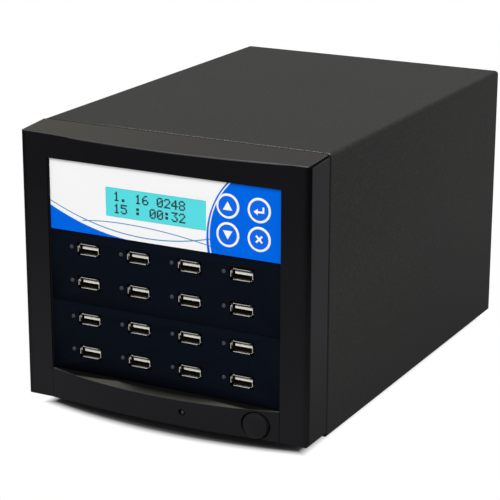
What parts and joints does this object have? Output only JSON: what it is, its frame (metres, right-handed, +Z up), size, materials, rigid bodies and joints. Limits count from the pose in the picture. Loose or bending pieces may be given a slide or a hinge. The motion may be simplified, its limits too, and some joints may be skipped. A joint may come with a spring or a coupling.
{
  "type": "usb flash drive duplicator",
  "caption": "Tower duplicator for usb flash drives: steel case, bowed moulded front, control panel with display and round keys, rows of usb sockets, power supply and fan behind.",
  "frame": {"origin": "centre of the part's box at the underside of the feet", "axes": "+X to the right seen from the front, +Y from the front to the back, +Z up"},
  "size_m": [0.1844, 0.2968, 0.1695],
  "materials": {
    "cover_steel": "fine black powder coat",
    "bezel_plastic": "satin moulded black",
    "plate_plastic": "satin blue black",
    "plated_steel": "zinc plated",
    "bright_steel": "bright nickel plated",
    "film_white": "printed film, white and blue",
    "key_blue": "satin blue with a white ring",
    "display_cyan": "tinted window",
    "circuit_board": "green solder mask",
    "fan_plastic": "black moulded",
    "cable_grey": "grey insulation",
    "foot_rubber": "matte black"
  },
  "bodies": {
    "case": {"cover": "cover_steel", "base_pan": "plated_steel", "front_frame": "plated_steel", "rear_panel": "plated_steel", "bay_cage": "plated_steel", "front_bezel": "bezel_plastic", "lower_bar": "bezel_plastic", "power_switch_board": "circuit_board", "control_plate": "plate_plastic", "control_film": "film_white", "display_window": "display_cyan", "display_module": "plated_steel", "keypad_board": "circuit_board", "usb_plate_lower": "plate_plastic", "usb_plate_upper": "plate_plastic", "usb_board_lower": "circuit_board", "usb_board_upper": "circuit_board", "ribbon_lower": "cable_grey", "ribbon_upper": "cable_grey", "usb_socket_1_1": "bright_steel", "usb_socket_1_2": "bright_steel", "usb_socket_1_3": "bright_steel", "usb_socket_1_4": "bright_steel", "usb_socket_2_1": "bright_steel", "usb_socket_2_2": "bright_steel", "usb_socket_2_3": "bright_steel", "usb_socket_2_4": "bright_steel", "usb_socket_3_1": "bright_steel", "usb_socket_3_2": "bright_steel", "usb_socket_3_3": "bright_steel", "usb_socket_3_4": "bright_steel", "usb_socket_4_1": "bright_steel", "usb_socket_4_2": "bright_steel", "usb_socket_4_3": "bright_steel", "usb_socket_4_4": "bright_steel", "controller_board": "circuit_board", "supply_case": "plated_steel", "supply_board": "circuit_board", "supply_fan_frame": "fan_plastic", "inlet_socket": "plate_plastic", "rocker_frame": "plate_plastic", "power_harness": "cable_grey", "exhaust_fan_frame": "fan_plastic", "fan_guard": "bright_steel", "thumbscrew_low_left": "plate_plastic", "thumbscrew_low_right": "plate_plastic", "thumbscrew_high_left": "plate_plastic", "thumbscrew_high_right": "plate_plastic", "foot_front_left": "foot_rubber", "foot_front_right": "foot_rubber", "foot_back_left": "foot_rubber", "foot_back_right": "foot_rubber"},
    "power_button": {"power_button": "bezel_plastic"},
    "key_up": {"key_up": "key_blue"},
    "key_down": {"key_down": "key_blue"},
    "key_enter": {"key_enter": "key_blue"},
    "key_escape": {"key_escape": "key_blue"},
    "rocker": {"rocker": "plate_plastic"},
    "supply_fan_rotor": {"supply_fan_rotor": "fan_plastic"},
    "exhaust_fan_rotor": {"exhaust_fan_rotor": "fan_plastic"}
  },
  "joints": [
    {"name": "power_button_press", "type": "slide", "parent": "case", "child": "power_button", "axis": [0, 1, 0], "range_m": [0, 0.0025], "stiffness_N_per_m": 400, "springref_m": -0.002},
    {"name": "key_up_press", "type": "slide", "parent": "case", "child": "key_up", "axis": [0, 1, 0], "range_m": [0, 0.0005], "stiffness_N_per_m": 800, "springref_m": -0.001},
    {"name": "key_down_press", "type": "slide", "parent": "case", "child": "key_down", "axis": [0, 1, 0], "range_m": [0, 0.0005], "stiffness_N_per_m": 800, "springref_m": -0.001},
    {"name": "key_enter_press", "type": "slide", "parent": "case", "child": "key_enter", "axis": [0, 1, 0], "range_m": [0, 0.0005], "stiffness_N_per_m": 800, "springref_m": -0.001},
    {"name": "key_escape_press", "type": "slide", "parent": "case", "child": "key_escape", "axis": [0, 1, 0], "range_m": [0, 0.0005], "stiffness_N_per_m": 800, "springref_m": -0.001},
    {"name": "rocker_tilt", "type": "hinge", "parent": "case", "child": "rocker", "pos_m": [0.001, 0.13855, 0.04065], "axis": [1, 0, 0], "range_deg": [0, 18]},
    {"name": "supply_fan_spin", "type": "hinge", "parent": "case", "child": "supply_fan_rotor", "pos_m": [-0.0415, 0.129, 0.04065], "axis": [0, 1, 0], "continuous": true},
    {"name": "exhaust_fan_spin", "type": "hinge", "parent": "case", "child": "exhaust_fan_rotor", "pos_m": [0.02, 0.125, 0.1185], "axis": [0, 1, 0], "continuous": true}
  ]
}
